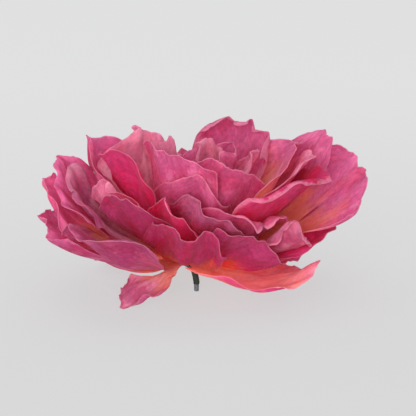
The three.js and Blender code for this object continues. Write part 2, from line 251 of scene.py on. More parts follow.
def midrib(p, share):
    """The midrib at each share of the length, as distance out and height, and its slope.

    The slope from the head's axis is a bowl that closes along the length, a flare towards the
    rim and a curl at its end. Its steps are summed from the ball's surface, and the whole is
    swung until its end stands at the petal's opening.
    """
    middle = (np.arange(MIDRIB_STEPS) + 0.5) / MIDRIB_STEPS

    def bent(at):
        bowl = p["bow"] * (0.5 - smooth(at, 0, 0.9))
        flare = p["flare"] * smooth(at, 0.6, 1.05)
        curl = p["curl"] * np.maximum(0, (at - 0.84) / 0.16) ** 1.5
        return np.radians(bowl + flare + curl)

    base = math.radians(p["base"])
    glued = (BALL_RADIUS + GLUE_GAP + PAPER / 2) * np.array([math.sin(base), math.cos(base)])

    def drawn(swing):
        slope = swing + bent(middle)
        step = np.stack([np.sin(slope), np.cos(slope)], 1) * p["long"] / MIDRIB_STEPS
        return np.vstack([glued, glued + np.cumsum(step, 0)])

    swing = math.radians(p["open"])
    for _ in range(SWING_STEPS):
        end = drawn(swing)[-1]
        swing += math.radians(p["open"]) - math.atan2(end[0], end[1])
    line = drawn(swing)
    at = np.clip(share, 0, 1) * MIDRIB_STEPS
    knots = np.arange(MIDRIB_STEPS + 1)
    return np.interp(at, knots, line[:, 0]), np.interp(at, knots, line[:, 1]), swing + bent(share)


def half_width(p, share):
    """Half the cut width at each share of the length: a smooth step from the claw to the blade."""
    return (p["claw"] + (p["wide"] - p["claw"]) * smooth(share, CLAW_SHARE, BLADE_SHARE)) / 2


def free_sheet(p, side, fall, along):
    """The petal's middle sheet before its neighbours press on it, as rows of points.

    Each row is an arc of the cup angle across the midrib. The wavy rim, the tip of one side
    out and the other in, and the roll of the whole sheet move it off that arc.
    """
    side = side[None, :]
    share = along[:, None] * fall[None, :]
    half = half_width(p, share)
    cup = math.radians(p["cup"]) * half / (p["wide"] / 2)
    bend = half / np.maximum(cup, 0.01)
    free = smooth(share, 0.15, 1)
    wave = np.sin(np.pi * p["waves"] * side + p["phase"])
    edge = np.sin(np.pi * 2.2 * share * p["waves"] + 2 * p["phase"]) * side
    ruffle = p["ruffle"] * (free * wave + 0.6 * free * edge * np.abs(side))
    tip = math.radians(p["skew"]) * side * half * free
    rise = bend * (1 - np.cos(side * cup)) - ruffle - tip
    spread = bend * np.sin(side * cup)
    roll = math.radians(p["roll"])
    lift = rise * math.cos(roll) - spread * math.sin(roll)
    across = spread * math.cos(roll) + rise * math.sin(roll)
    out, up, slope = midrib(p, share)
    out = out - np.cos(slope) * lift
    up = up + np.sin(slope) * lift
    turn = math.radians(p["turn"])
    return np.stack([
        out * math.cos(turn) - across * math.sin(turn),
        out * math.sin(turn) + across * math.cos(turn),
        up,
    ], -1)


def polar(points):
    """Distance from the ball's middle, turn round the head and opening from its axis."""
    reach = np.linalg.norm(points, axis=-1)
    turn = np.arctan2(points[..., 1], points[..., 0]) % (2 * np.pi)
    return reach, turn, np.arccos(np.clip(points[..., 2] / reach, -1, 1))


def from_polar(reach, turn, opening):
    """The point at that distance, turn and opening."""
    return np.stack(np.broadcast_arrays(
        reach * np.sin(opening) * np.cos(turn),
        reach * np.sin(opening) * np.sin(turn),
        reach * np.cos(opening),
    ), -1)


def neighbours(grid, wrapped):
    """Each value's three by three neighbourhood, stacked; the first axis may be a closed round."""
    padded = np.pad(grid, ((1, 1), (0, 0)), "wrap" if wrapped else "edge")
    padded = np.pad(padded, ((0, 0), (1, 1)), "edge")
    rows, columns = grid.shape
    return np.stack([padded[a:a + rows, b:b + columns] for a in range(3) for b in range(3)])


def cells(turn, reach):
    """The map's cell at that turn and reach."""
    t = np.floor(turn / (2 * np.pi) * MAP_TURN_CELLS).astype(int) % MAP_TURN_CELLS
    r = np.floor(reach / MAP_REACH * MAP_REACH_CELLS).astype(int)
    return t, np.clip(r, 0, MAP_REACH_CELLS - 1)


class Layers:
    """How far out the petals placed so far reach, by turn and distance."""

    def __init__(self):
        self.reached = np.full((MAP_TURN_CELLS, MAP_REACH_CELLS), -1, np.float32)

    def settle(self, p):
        """How far each point of a new petal is pressed out, so that it clears those inside it.

        The need at a point is the widest opening near it plus a gap that grows from the claw to
        the rim. It is spread to its neighbours as their largest and then their mean, and the
        pressed sheet is entered in the map.
        """
        side = np.linspace(-1, 1, ACROSS + 1)
        fall = 1 - p["drop"] * np.abs(side) ** p["point"]
        reach, turn, opening = polar(free_sheet(p, side, fall, np.linspace(0, 1, ALONG + 1)))
        inside = neighbours(self.reached, True).max(0)[cells(turn, reach)]
        share = smooth(reach, BALL_RADIUS, RIM_REACH)
        gap = PAPER + CLAW_CLEARANCE + (RIM_CLEARANCE - CLAW_CLEARANCE) * share
        least = np.where(inside < 0, LEAST_OPENING, inside + gap / reach)
        need = np.maximum(0, least - opening)
        push = neighbours(neighbours(need, False).max(0), False).mean(0)
        points = from_polar(reach, turn, opening + push)
        step = np.arange(SPLAT_STEPS + 1) / SPLAT_STEPS
        a, b = step[:, None, None, None, None], step[None, :, None, None, None]
        low = points[:-1, :-1] * (1 - a) + points[:-1, 1:] * a
        high = points[1:, :-1] * (1 - a) + points[1:, 1:] * a
        reach, turn, opening = polar(low * (1 - b) + high * b)
        np.maximum.at(self.reached, cells(turn, reach), opening.astype(np.float32))
        return push


def spline_weights(at, count):
    """Weights of a Catmull-Rom spline through count evenly spaced knots, for places at 0 to 1."""
    place = np.clip(at, 0, 1) * (count - 1)
    low = np.minimum(place.astype(int), count - 2)
    t = place - low
    four = np.stack([
        -0.5 * t + t ** 2 - 0.5 * t ** 3,
        1 - 2.5 * t ** 2 + 1.5 * t ** 3,
        0.5 * t + 2 * t ** 2 - 1.5 * t ** 3,
        -0.5 * t ** 2 + 0.5 * t ** 3,
    ], 1)
    weights = np.zeros((len(at), count))
    for k in range(4):
        np.add.at(weights, (np.arange(len(at)), np.clip(low + k - 1, 0, count - 1)), four[:, k])
    return weights


def directions(points):
    """Unit vectors along the length and out of the outer face at each point of a grid."""
    along = np.gradient(points, axis=0)
    across = np.gradient(points, axis=1)
    along /= np.linalg.norm(along, axis=-1, keepdims=True) + 1e-9
    face = np.cross(across, along)
    return along, face / (np.linalg.norm(face, axis=-1, keepdims=True) + 1e-9)


def tilted(points):
    """From the head's frame to the row's: leaned to +X about the ball's middle, and set there."""
    tilt = math.radians(HEAD_TILT)
    x, y, z = points[..., 0], points[..., 1], points[..., 2]
    return np.stack([
        x * math.cos(tilt) + z * math.sin(tilt) + BALL_SHIFT,
        y,
        z * math.cos(tilt) - x * math.sin(tilt) + BALL_HEIGHT,
    ], -1)


def above_table(points):
    """The points, with those below the paper's half thickness on the table lifted to it."""
    points[..., 2] = np.maximum(points[..., 2], TABLE_CLEARANCE + PAPER / 2)
    return points


def crepe_sheet(p, push, settings):
    """The shown middle sheet of a petal in millimetres, and what its paper is like at each point.

    The part's sheet is sampled finely with a nicked rim, then moved along its face by frills
    that grow towards the rim, by pleats that run up from the claw and by slow dents. The last
    rows turn round a small circle, which rolls the rim.
    """
    rng = np.random.default_rng(p["seed"])
    side = np.linspace(-1, 1, FINE_ACROSS + 1)
    phase = rng.uniform(0, 2 * np.pi, 12)
    nick = (
        0.007 * np.sin(2.7 * np.pi * side + phase[0])
        + 0.005 * np.sin(5.9 * np.pi * side + phase[1])
        + 0.0035 * np.abs(np.sin(8.3 * np.pi * side + phase[2]))
    )
    fall = 1 - p["drop"] * np.abs(side) ** p["point"]
    fall = fall + nick * settings.nicks * (1 - 0.6 * np.abs(side))
    roll_length = settings.rolled / MM * p["rolled"]
    rolled = roll_length / p["long"]
    along = np.concatenate([
        np.linspace(0, 1 - rolled, FINE_ALONG + 1),
        np.linspace(1 - rolled, 1, ROLL_ROWS + 1)[1:],
    ])
    reach, turn, opening = polar(free_sheet(p, side, fall, along))
    press = spline_weights(along, ALONG + 1) @ push @ spline_weights((side + 1) / 2, ACROSS + 1).T
    points = above_table(tilted(from_polar(reach, turn, opening + press)))

    # Frills, pleats and dents along the face
    s, v = np.meshgrid(side, along)
    _, face = directions(points)
    rim = smooth(v, 0.55, 1.0) ** 1.5
    flank = smooth(np.abs(s), 0.6, 1.0) * smooth(v, 0.2, 0.5)
    frill = rim * (
        0.75 * np.sin(2.6 * np.pi * s + phase[3] + 1.4 * np.sin(3 * v + phase[4]))
        + 0.28 * np.sin(6.1 * np.pi * s + phase[5] + 0.8 * np.sin(5 * v + phase[6]))
        + 0.07 * np.sin(14.3 * np.pi * s + phase[6])
    )
    frill += 0.5 * flank * np.sin(4.5 * np.pi * v + phase[7] + 2 * s)
    pleats = np.zeros_like(v)
    for _ in range(5):
        place = rng.uniform(-0.75, 0.75)
        fan = rng.uniform(-0.25, 0.25)
        width = rng.uniform(0.05, 0.12)
        sharp = rng.uniform(-1, 1) * np.exp(-(((s - place - fan * v) / width) ** 2))
        pleats += sharp * smooth(v, 0.05, 0.4) * (1 - 0.6 * smooth(v, 0.7, 1))
    dents = np.sin(2.1 * np.pi * s + phase[8]) * np.sin(1.7 * np.pi * v + phase[9])
    dents += 0.6 * np.sin(3.7 * np.pi * s + phase[10]) * np.sin(3.1 * np.pi * v + phase[11])
    dents = settings.dent * dents * smooth(v, 0.1, 0.5)
    move = (p["frill"] * settings.frill * frill + settings.pleat * pleats + dents) / MM
    points = above_table(points + face * move[..., None])

    # The rolled rim: the last rows turn from the row where it starts
    length, face = directions(points)
    if p["rim"]:
        turned = math.radians(p["rim"]) * (0.7 + 0.3 * np.sin(3.3 * np.pi * side + phase[6]))
        radius = (roll_length / np.abs(turned))[:, None]
        way = math.copysign(1, p["rim"])
        for k in range(1, ROLL_ROWS + 1):
            angle = np.abs(turned)[:, None] * k / ROLL_ROWS
            points[FINE_ALONG + k] = (
                points[FINE_ALONG]
                + length[FINE_ALONG] * radius * np.sin(angle)
                + way * face[FINE_ALONG] * radius * (1 - np.cos(angle))
            )
        points = above_table(points)
    share = v * fall[None, :]
    half = half_width(p, share)
    edge = np.minimum((1 - v) * p["long"], (1 - np.abs(s)) * half)
    return points, {"across": s * half, "along": v * p["long"], "share": share, "edge": edge}


def in_scene(name, data):
    """A new object of that data, in the scene."""
    made = bpy.data.objects.new(name, data)
    bpy.context.scene.collection.objects.link(made)
    return made


def new_piece(name, points, faces, material):
    """A smooth mesh object from points in millimetres and its faces."""
    mesh = bpy.data.meshes.new(name)
    mesh.from_pydata((points * MM).tolist(), [], faces)
    mesh.shade_smooth()
    mesh.materials.append(material)
    return in_scene(name, mesh)


def shell_quads(rows, columns):
    """Quads of a closed sheet: an inner and an outer grid of points, joined round their rim."""
    at = np.arange(rows * columns).reshape(rows, columns)
    outer = at + rows * columns

    def patch(a, b, c, d):
        return np.stack([a.ravel(), b.ravel(), c.ravel(), d.ravel()], 1)

    return np.vstack([
        patch(outer[:-1, :-1], outer[:-1, 1:], outer[1:, 1:], outer[1:, :-1]),
        patch(at[:-1, :-1], at[1:, :-1], at[1:, 1:], at[:-1, 1:]),
        patch(at[0, :-1], at[0, 1:], outer[0, 1:], outer[0, :-1]),
        patch(outer[-1, :-1], outer[-1, 1:], at[-1, 1:], at[-1, :-1]),
        patch(outer[:-1, 0], outer[1:, 0], at[1:, 0], at[:-1, 0]),
        patch(at[:-1, -1], at[1:, -1], outer[1:, -1], outer[:-1, -1]),
    ])


def petal_piece(node, p, push, settings, material):
    """A closed, thin petal in place of a node, with what its paper's colours need stored on it.

    Each stored vector's third value may differ between the inner and the outer face. A petal's
    own number is its seed times the golden ratio, less the whole part, which spreads them well.
    """
    points, facts = crepe_sheet(p, push, settings)
    _, face = directions(points)
    offset = face * settings.thickness / MM / 2
    both = np.concatenate([(points - offset).reshape(-1, 3), (points + offset).reshape(-1, 3)])
    both[:, 2] = np.maximum(both[:, 2], TABLE_CLEARANCE)
    shape = facts["across"].shape

    piece = new_piece("paper_" + node, both, shell_quads(*shape).tolist(), material)

    def store(label, first, second, *thirds):
        faces = [np.broadcast_arrays(first, second, np.full(shape, third)) for third in thirds]
        values = np.concatenate([np.stack(face, -1).reshape(-1, 3) for face in faces])
        made = piece.data.attributes.new(label, "FLOAT_VECTOR", "POINT")
        made.data.foreach_set("vector", values.astype(np.float32).ravel())

    own = (p["seed"] * GOLDEN) % 1
    store("sheet", facts["across"] * MM, facts["along"] * MM, 0, 1)
    store("place", facts["share"], facts["edge"] * MM, own, own)
    # The dye's third value is the petal's tone, partly its own and partly painted light on petals
    # in shade
    store("dye", p["coral"], p["fade"], p["tone"], p["tone"])
    # The tint's third value is the width of the painted highlight along the rim
    store("tint", p["lilac"], p["red"], p["band"] * MM, p["band"] * MM)
    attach(piece, "root")
    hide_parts(node)
    return piece


def linear(red, green, blue):
    """A colour written in 0 to 255 steps as the linear values that a material takes."""
    share = np.array([red, green, blue]) / 255
    return tuple(np.where(share <= 0.04045, share / 12.92, ((share + 0.055) / 1.055) ** 2.4))


def linked(tree, node_type, inputs=(), **settings):
    """A new node with its settings made and its inputs set or linked."""
    node = tree.nodes.new(node_type)
    for name, value in settings.items():
        setattr(node, name, value)
    for key, value in dict(inputs).items():
        if isinstance(value, bpy.types.NodeSocket):
            tree.links.new(value, node.inputs[key])
        else:
            node.inputs[key].default_value = value
    return node


def maths(tree, operation, *values):
    """The result of a Math node on two or three values."""
    return linked(tree, "ShaderNodeMath", enumerate(values), operation=operation).outputs[0]


def ramped(tree, value, low, high, start=0.0, end=1.0):
    """A value taken smoothly from start at low to end at high."""
    inputs = {"Value": value, "From Min": low, "From Max": high, "To Min": start, "To Max": end}
    node = linked(tree, "ShaderNodeMapRange", inputs, interpolation_type="SMOOTHSTEP")
    return node.outputs["Result"]


def mixed(tree, factor, first, second, blend="MIX"):
    """Two colours mixed by a factor. In a Mix node, colours are inputs 6 and 7 and output 2."""
    inputs = {0: factor, 6: first, 7: second}
    return linked(tree, "ShaderNodeMix", inputs, data_type="RGBA", blend_type=blend).outputs[2]


def vector_sum(tree, vector, scales, shift):
    """A vector with each of its three parts scaled, plus another vector."""
    inputs = {0: vector, 1: scales, 2: shift}
    return linked(tree, "ShaderNodeVectorMath", inputs, operation="MULTIPLY_ADD").outputs[0]


def noise(tree, vector, scales, detail, roughness=0.5, shift=(0, 0, 0)):
    """Noise with a mean of one half, on a scaled and shifted vector."""
    spot = vector_sum(tree, vector, scales, shift)
    inputs = {"Vector": spot, "Scale": 1, "Detail": detail, "Roughness": roughness}
    return linked(tree, "ShaderNodeTexNoise", inputs).outputs["Fac"]


def new_material(name):
    """A material and its empty node tree."""
    material = bpy.data.materials.new(name)
    material.use_nodes = True
    material.node_tree.nodes.clear()
    return material, material.node_tree


def to_surface(tree, shader, output="ShaderNodeOutputMaterial"):
    """Ends a tree in its output node."""
    linked(tree, output, {"Surface": shader.outputs[0]})


def new_group(name, inputs, outputs):
    """An empty node group with named inputs and outputs, and its two end nodes."""
    tree = bpy.data.node_groups.new(name, "ShaderNodeTree")
    for label, kind in inputs:
        tree.interface.new_socket(label, in_out="INPUT", socket_type=kind)
    for label, kind in outputs:
        tree.interface.new_socket(label, in_out="OUTPUT", socket_type=kind)
    return tree, tree.nodes.new("NodeGroupInput"), tree.nodes.new("NodeGroupOutput")


def crepe_grain_group():
    """Fine crinkles that run the petal's length, about a millimetre apart, over coarser ones.

    The sheet coordinates are squeezed along the petal, so that each noise draws long streaks.
    The height also holds slow cockles, where the paper was stretched and let go.
    """
    tree, start, end = new_group(
        "Crepe grain",
        [("Sheet", "NodeSocketVector"), ("Coarseness", "NodeSocketFloat")],
        [("Height", "NodeSocketFloat"), ("Streak", "NodeSocketFloat")],
    )
    sheet = start.outputs["Sheet"]
    wander = noise(tree, sheet, (90, 60, 3), 2)
    sway = linked(tree, "ShaderNodeCombineXYZ", {0: maths(tree, "MULTIPLY", wander, 0.004)})
    swayed = vector_sum(tree, sheet, (1, 1, 1), sway.outputs[0])
    spread = linked(tree, "ShaderNodeVectorMath", {0: swayed}, operation="SCALE")
    tree.links.new(start.outputs["Coarseness"], spread.inputs["Scale"])
    fine = noise(tree, spread.outputs[0], (1150, 130, 7), 3, 0.6)
    broad = noise(tree, spread.outputs[0], (420, 40, 5), 2)
    cockle = noise(tree, sheet, (130, 90, 2), 2)
    height = maths(tree, "MULTIPLY_ADD", broad, 0.9, fine)
    tree.links.new(maths(tree, "MULTIPLY_ADD", cockle, 1.6, height), end.inputs["Height"])
    streak = maths(tree, "MULTIPLY", broad, 0.45)
    streak = maths(tree, "MULTIPLY_ADD", fine, 0.55, streak)
    tree.links.new(ramped(tree, streak, 0.34, 0.66), end.inputs["Streak"])
    return tree


def dyed_paper_group():
    """Dye from the claw to the rim: coral, then the body colour, then the rim's.

    Each limit wanders with a slow noise and is drawn out in streaks. Blotches fade the body
    towards the rim colour, a painted highlight lightens the rim and most of all the cut edge,
    and the outer face is a little deeper.
    """
    vectors = [(label, "NodeSocketVector") for label in ("Sheet", "Place", "Dye", "Tint")]
    names = ("Coral", "Body", "Rim", "Rim highlight", "Outer", "Lilac", "Red")
    colours = [(label, "NodeSocketColor") for label in names]
    tree, start, end = new_group(
        "Dyed paper",
        [*vectors, ("Streak", "NodeSocketFloat"), *colours],
        [("Color", "NodeSocketColor")],
    )
    given = start.outputs
    sheet, place, dye, tint = (
        linked(tree, "ShaderNodeSeparateXYZ", {0: given[label]}).outputs for label, _ in vectors
    )

    def times(first, second):
        return maths(tree, "MULTIPLY", first, second)

    def from_mean(value, amount):
        return times(maths(tree, "SUBTRACT", value, 0.5), amount)

    # Each petal reads its noises at a place of its own.
    spot = given["Sheet"]
    own = linked(tree, "ShaderNodeCombineXYZ", {2: times(place[2], 40)}).outputs[0]
    slow = noise(tree, spot, (75, 42, 0.6), 3, 0.55, own)
    blotch = noise(tree, spot, (170, 80, 0.9), 4, 0.6, own)
    drawn = noise(tree, spot, (420, 22, 0.4), 2, 0.5, own)
    speck = noise(tree, spot, (620, 430, 11), 4, 0.65)
    wander = maths(tree, "ADD", from_mean(slow, 0.5), from_mean(drawn, 0.4))
    share = maths(tree, "ADD", place[0], wander)

    # From the claw: coral, less of it outside a lilac petal, then the body with its second dyes
    bare = times(times(sheet[2], tint[0]), -0.8)
    reach = maths(tree, "MULTIPLY_ADD", bare, dye[0], dye[0])
    body = ramped(tree, maths(tree, "SUBTRACT", share, reach), -0.14, 0.16)
    dyed = mixed(tree, times(sheet[2], 0.6), given["Body"], given["Outer"])
    low_red = times(tint[1], ramped(tree, share, 0.95, 0.5))
    dyed = mixed(tree, low_red, dyed, given["Red"])
    high_lilac = times(tint[0], ramped(tree, share, 0.3, 0.75))
    dyed = mixed(tree, high_lilac, dyed, given["Lilac"])
    colour = mixed(tree, body, given["Coral"], dyed)

    # The rim's colour, faded blotches, and the darker soaked and dusky patches
    faded = times(ramped(tree, blotch, 0.44, 0.62), dye[1])
    rim = ramped(tree, share, 0.66, 1.08, 0, 0.6)
    rim = maths(tree, "MAXIMUM", rim, times(faded, body))
    colour = mixed(tree, rim, colour, given["Rim"])
    soaked = ramped(tree, slow, 0.36, 0.54, 0.75, 0)
    colour = mixed(tree, soaked, colour, (0.92, 0.55, 0.62, 1), "MULTIPLY")
    dusk = times(ramped(tree, share, 0.6, 0.92, 0, 0.45), ramped(tree, blotch, 0.56, 0.44))
    colour = mixed(tree, dusk, colour, (0.72, 0.5, 0.64, 1), "MULTIPLY")

    # Painted highlight along the rim: a pale band, and lighter still at the cut edge in the last
    # millimetre
    uneven = ramped(tree, blotch, 0.4, 0.6, 0.6, 1.2)
    width = maths(tree, "MULTIPLY_ADD", tint[2], uneven, 0.00001)
    band = ramped(tree, maths(tree, "DIVIDE", place[1], width), 0.5, 1, 0.6, 0)
    colour = mixed(tree, band, colour, given["Rim highlight"])
    edge = ramped(tree, place[1], 0.0001, 0.0008, 0.3, 0)
    colour = mixed(tree, edge, colour, given["Rim highlight"])

    # The creping's painted light and shade, fine specks, and the petal's tone, which is partly its
    # own and partly painted light that lifts petals lying in shade
    streaks = ramped(tree, given["Streak"], 0, 1, 0.97, 1.03)
    value = maths(tree, "ADD", streaks, from_mean(speck, 0.95))
    value = maths(tree, "ADD", value, dye[2])
    toned = linked(tree, "ShaderNodeHueSaturation", {"Value": value, "Color": colour})
    tree.links.new(toned.outputs[0], end.inputs["Color"])
    return tree


def crepe_material(name, grain, dyed, colours):
    """Crepe paper of one dye lot: dull, finely crinkled, with some light coming through."""
    material, tree = new_material(name)
    stored = {
        label: linked(tree, "ShaderNodeAttribute", attribute_name=label.lower()).outputs["Vector"]
        for label in ("Sheet", "Place", "Dye", "Tint")
    }
    crinkled = linked(tree, "ShaderNodeGroup", node_tree=grain)
    tree.links.new(stored["Sheet"], crinkled.inputs["Sheet"])
    crinkled.inputs["Coarseness"].default_value = 1
    coloured = linked(tree, "ShaderNodeGroup", node_tree=dyed)
    tree.links.new(crinkled.outputs["Streak"], coloured.inputs["Streak"])
    for label, socket in stored.items():
        tree.links.new(socket, coloured.inputs[label])
    for label, value in colours.items():
        coloured.inputs[label].default_value = (*value, 1)
    colour = coloured.outputs["Color"]
    bump = linked(tree, "ShaderNodeBump", {
        "Strength": 0.6, "Distance": 0.0005, "Height": crinkled.outputs["Height"],
    }).outputs[0]
    rough = ramped(tree, crinkled.outputs["Streak"], 0, 1, 0.9, 0.72)
    paper = linked(tree, "ShaderNodeBsdfPrincipled", {
        "Base Color": colour, "Roughness": rough, "Specular IOR Level": 0.3, "Normal": bump,
        "Sheen Weight": 0.08, "Sheen Roughness": 0.5,
    })
    shine = {"Saturation": 0.9, "Value": 1.25, "Color": colour}
    glow = linked(tree, "ShaderNodeHueSaturation", shine).outputs[0]
    through = linked(tree, "ShaderNodeBsdfTranslucent", {"Color": glow, "Normal": bump})
    sheets = {0: 0.5, 1: paper.outputs[0], 2: through.outputs[0]}
    to_surface(tree, linked(tree, "ShaderNodeMixShader", sheets))
    return material


def floral_tape():
    """Waxed floral tape: almost black green, with fine crinkles that are lighter where they rise,
    and lighter patches. Made once.
    """
    if "Floral tape" in bpy.data.materials:
        return bpy.data.materials["Floral tape"]
    material, tree = new_material("Floral tape")
    colour = bpy.context.scene.peony_dyes.tape
    at = linked(tree, "ShaderNodeTexCoord").outputs["Object"]
    fibre = noise(tree, at, (2200, 2200, 700), 4, 0.6)
    patch = noise(tree, at, (260, 260, 260), 3)
    worn = (*(c * 3.2 for c in colour), 1)
    ridge = (*(c * 4.5 for c in colour), 1)
    shown = mixed(tree, ramped(tree, patch, 0.4, 0.7, 0, 0.5), (*colour, 1), worn)
    # The fibre noise is also the bump's height, so the tape is lighter where its crinkles rise
    shown = mixed(tree, ramped(tree, fibre, 0.5, 0.75, 0, 0.35), shown, ridge)
    relief = {"Strength": 0.5, "Distance": 0.0002, "Height": fibre}
    to_surface(tree, linked(tree, "ShaderNodeBsdfPrincipled", {
        "Base Color": shown,
        "Roughness": ramped(tree, patch, 0.3, 0.7, 0.5, 0.72),
        "Normal": linked(tree, "ShaderNodeBump", relief).outputs[0],
    }))
    return material


def wire_material():
    """Dull annealed wire: blue grey, drawn lengthwise, with darker scale in patches."""
    material, tree = new_material("Annealed wire")
    colour = bpy.context.scene.peony_dyes.wire
    at = linked(tree, "ShaderNodeTexCoord").outputs["Object"]
    drawn = noise(tree, at, (5200, 5200, 420), 3, 0.6)
    scale = noise(tree, at, (900, 900, 900), 4, 0.6)
    dark = (*(c * 0.45 for c in colour), 1)
    shown = mixed(tree, ramped(tree, scale, 0.45, 0.68, 0, 0.8), (*colour, 1), dark)
    relief = {"Strength": 0.3, "Distance": 0.0001, "Height": drawn}
    to_surface(tree, linked(tree, "ShaderNodeBsdfPrincipled", {
        "Base Color": shown,
        "Metallic": 0.7,
        "Roughness": ramped(tree, scale, 0.3, 0.7, 0.38, 0.6),
        "Normal": linked(tree, "ShaderNodeBump", relief).outputs[0],
    }))
    return material


def stem_line(share):
    """The stub's middle line at a share of its length, and its direction, in millimetres.

    It runs straight up from the cut end, and then along a quadratic curve to the ball's middle.
    """
    fine = np.linspace(0, 1, 400)[:, None]
    bend = np.array([0, 0, BARE_END])
    pull = np.array([0, 0, 2 * BARE_END])
    ball = np.array([BALL_SHIFT, 0, BALL_HEIGHT])
    curve = bend * (1 - fine) ** 2 + 2 * pull * fine * (1 - fine) + ball * fine ** 2
    line = np.vstack([[0, 0, 0], curve])
    gone = np.concatenate([[0], np.cumsum(np.linalg.norm(np.diff(line, axis=0), axis=1))])
    at = np.asarray(share) * gone[-1]

    def point(at):
        return np.stack([np.interp(at, gone, line[:, k]) for k in range(3)], -1)

    way = point(at + 0.05) - point(at - 0.05)
    return point(at), way / np.linalg.norm(way, axis=-1, keepdims=True), gone[-1]


def round_the_stem(along, radius, angles):
    """Points at the given radius round the stub's line: rows along it, columns round it."""
    _, _, length = stem_line(0.5)
    middle, way, _ = stem_line(np.asarray(along) / length)
    side = np.cross(way, np.array([0.0, 1.0, 0.0]))
    side /= np.linalg.norm(side, axis=-1, keepdims=True)
    front = np.cross(way, side)
    cos, sin = np.cos(angles)[None, :, None], np.sin(angles)[None, :, None]
    return middle[:, None] + radius[..., None] * (side[:, None] * cos + front[:, None] * sin)


def turned_piece(name, rows, material, closed):
    """A mesh object from rings of points: closed on itself, or ended in two single points.

    In the second case the first and last ring are replaced by their mean point.
    """
    count, around = rows.shape[:2]
    if closed:
        points = rows.reshape(-1, 3)
        a = np.arange(count * around).reshape(count, around)
        b = np.roll(a, -1, 1)
        faces = np.stack([a, b, np.roll(b, -1, 0), np.roll(a, -1, 0)], -1).reshape(-1, 4).tolist()
    else:
        points = np.vstack([rows[0].mean(0), rows[1:-1].reshape(-1, 3), rows[-1].mean(0)])
        a = 1 + np.arange((count - 2) * around).reshape(count - 2, around)
        b = np.roll(a, -1, 1)
        quads = np.stack([a[:-1], b[:-1], b[1:], a[1:]], -1).reshape(-1, 4)
        last = len(points) - 1
        first_fan = np.stack([np.zeros(around, int), b[0], a[0]], 1)
        last_fan = np.stack([np.full(around, last), a[-1], b[-1]], 1)
        faces = quads.tolist() + first_fan.tolist() + last_fan.tolist()
    piece = new_piece(name, points, faces, material)
    shell = bmesh.new()
    shell.from_mesh(piece.data)
    bmesh.ops.recalc_face_normals(shell, faces=shell.faces)
    shell.to_mesh(piece.data)
    shell.free()
    return piece


def length_property(name, description, default, low, high):
    """A length that a user can change."""
    return FloatProperty(
        name=name, description=description, default=default, min=low, max=high,
        unit="LENGTH", subtype="DISTANCE",
    )


class PaperSettings(bpy.types.PropertyGroup):
    """Sizes of the paper's own detail."""

    thickness: length_property("Thickness", "Thickness of the crepe paper", 0.0003, 0.0001, 0.0005)
    frill: length_property("Frills", "Height of the frills at the rim", 0.0019, 0, 0.004)
    pleat: length_property("Pleats", "Height of the pleats above the claw", 0.0011, 0, 0.003)
    dent: length_property("Dents", "Depth of the slow dents in the blade", 0.0009, 0, 0.003)
    rolled: length_property("Rolled length", "Length of a rolled rim", 0.0035, 0.001, 0.008)
    nicks: FloatProperty(
        name="Nicks", description="How uneven the cut rim is",
        default=2.2, min=0, max=3, subtype="FACTOR",
    )


def colour_property(name, description, default):
    """A colour that a user can change."""
    return FloatVectorProperty(
        name=name, description=description, default=default, subtype="COLOR", size=3, min=0, max=1,
    )


def dye_property(name, description, *steps):
    """A colour that a user can change, written in 0 to 255 steps."""
    return colour_property(name, description, linear(*steps))


class DyeSettings(bpy.types.PropertyGroup):
    """Colours of the dyed papers, the tape, the wire and the stage."""

    coral: dye_property("Coral", "Claw of the rose and pale petals", 252, 184, 166)
    claw: dye_property("Red claw", "Claw of the deep petals", 250, 122, 104)
    lilac: dye_property("Lilac", "Second dye on the outside of some petals", 206, 74, 138)
    red: dye_property("Red", "Second dye low on some petals", 226, 22, 94)
    rose: dye_property("Rose", "Body of the rose petals", 231, 112, 170)
    rose_outer: dye_property("Rose, outer face", "Outer face of the rose petals", 224, 98, 156)
    rose_rim: dye_property("Rose rim", "Rim of the rose petals", 236, 146, 190)
    pale: dye_property("Pale", "Body of the pale petals", 240, 156, 192)
    pale_outer: dye_property("Pale, outer face", "Outer face of the pale petals", 234, 128, 176)
    pale_rim: dye_property("Pale rim", "Rim of the pale petals", 246, 184, 208)
    deep: dye_property("Deep", "Body of the deep petals", 232, 48, 126)
    deep_outer: dye_property("Deep, outer face", "Outer face of the deep petals", 212, 62, 126)
    deep_rim: dye_property("Deep rim", "Rim of the deep petals", 220, 92, 150)
    # The edge colour is a painted highlight along every petal's rim and cut edge
    edge: dye_property("Painted rim highlight", "Painted highlight along every petal's rim and cut edge", 244, 168, 196)
    tape: colour_property("Tape", "Floral tape", (0.012, 0.018, 0.011))
    wire: colour_property("Wire", "Bare wire end", (0.2, 0.23, 0.25))
    floor: dye_property("Floor", "Floor and backdrop", 222, 222, 223)


def papers():
    """The three crepe papers and their slots, made once."""
    slots = {"rose": "magenta_crepe", "pale": "pale_crepe", "deep": "deep_crepe"}
    if "Crepe grain" not in bpy.data.node_groups:
        dyes = bpy.context.scene.peony_dyes
        grain = crepe_grain_group()
        dyed = dyed_paper_group()
        for kind in slots:
            crepe_material("Crepe " + kind, grain, dyed, {
                "Coral": dyes.claw if kind == "deep" else dyes.coral,
                "Body": getattr(dyes, kind),
                "Outer": getattr(dyes, kind + "_outer"),
                "Rim": getattr(dyes, kind + "_rim"),
                # dyes.edge is the colour of the painted highlight along the rims
                "Rim highlight": dyes.edge,
                "Lilac": dyes.lilac,
                "Red": dyes.red,
            })
    return {kind: (bpy.data.materials["Crepe " + kind], slot) for kind, slot in slots.items()}


LAYERS = Layers()


